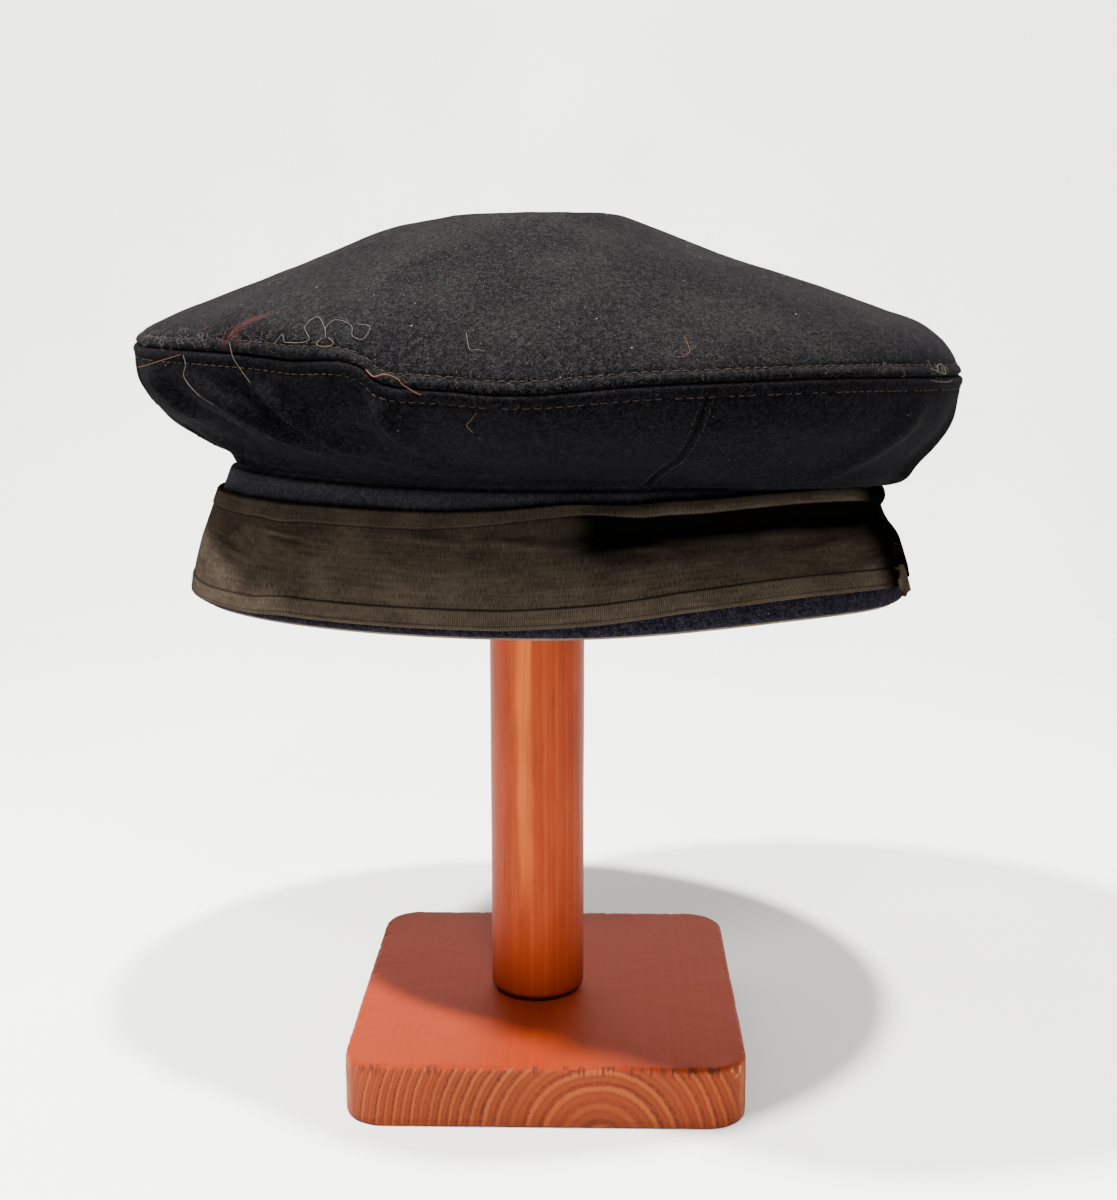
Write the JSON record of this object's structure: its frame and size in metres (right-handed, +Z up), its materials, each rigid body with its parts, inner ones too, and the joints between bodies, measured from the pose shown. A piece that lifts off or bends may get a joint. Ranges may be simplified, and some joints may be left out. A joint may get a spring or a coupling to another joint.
{
  "type": "sailor cap on a wooden stand",
  "caption": "Flat-topped sailor cap of dark wool with a wide soft crown, a band and a silk ribbon, standing on a wooden post and base.",
  "frame": {"origin": "centre of the stand base's underside, on the table", "axes": "+Z up the post, -Y out of the cap's front where the ribbon faces, +X to the right as seen from the front, where the ribbon's torn end is"},
  "size_m": [0.2603, 0.2323, 0.2794],
  "materials": {
    "wool": "felted dark navy wool, matt",
    "ribbon_silk": "faded black silk ribbon with ribbed borders, soft sheen",
    "leather": "old brown leather, dull",
    "stained_wood": "red-brown stained softwood, satin"
  },
  "bodies": {
    "root": {"crown_top": "wool", "side_panel_1": "wool", "side_panel_2": "wool", "side_panel_3": "wool", "side_panel_4": "wool", "band": "wool", "ribbon": "ribbon_silk", "ribbon_tail": "ribbon_silk", "sweatband": "leather", "stand_base": "stained_wood", "stand_post": "stained_wood", "stand_disc": "stained_wood"}
  },
  "joints": []
}
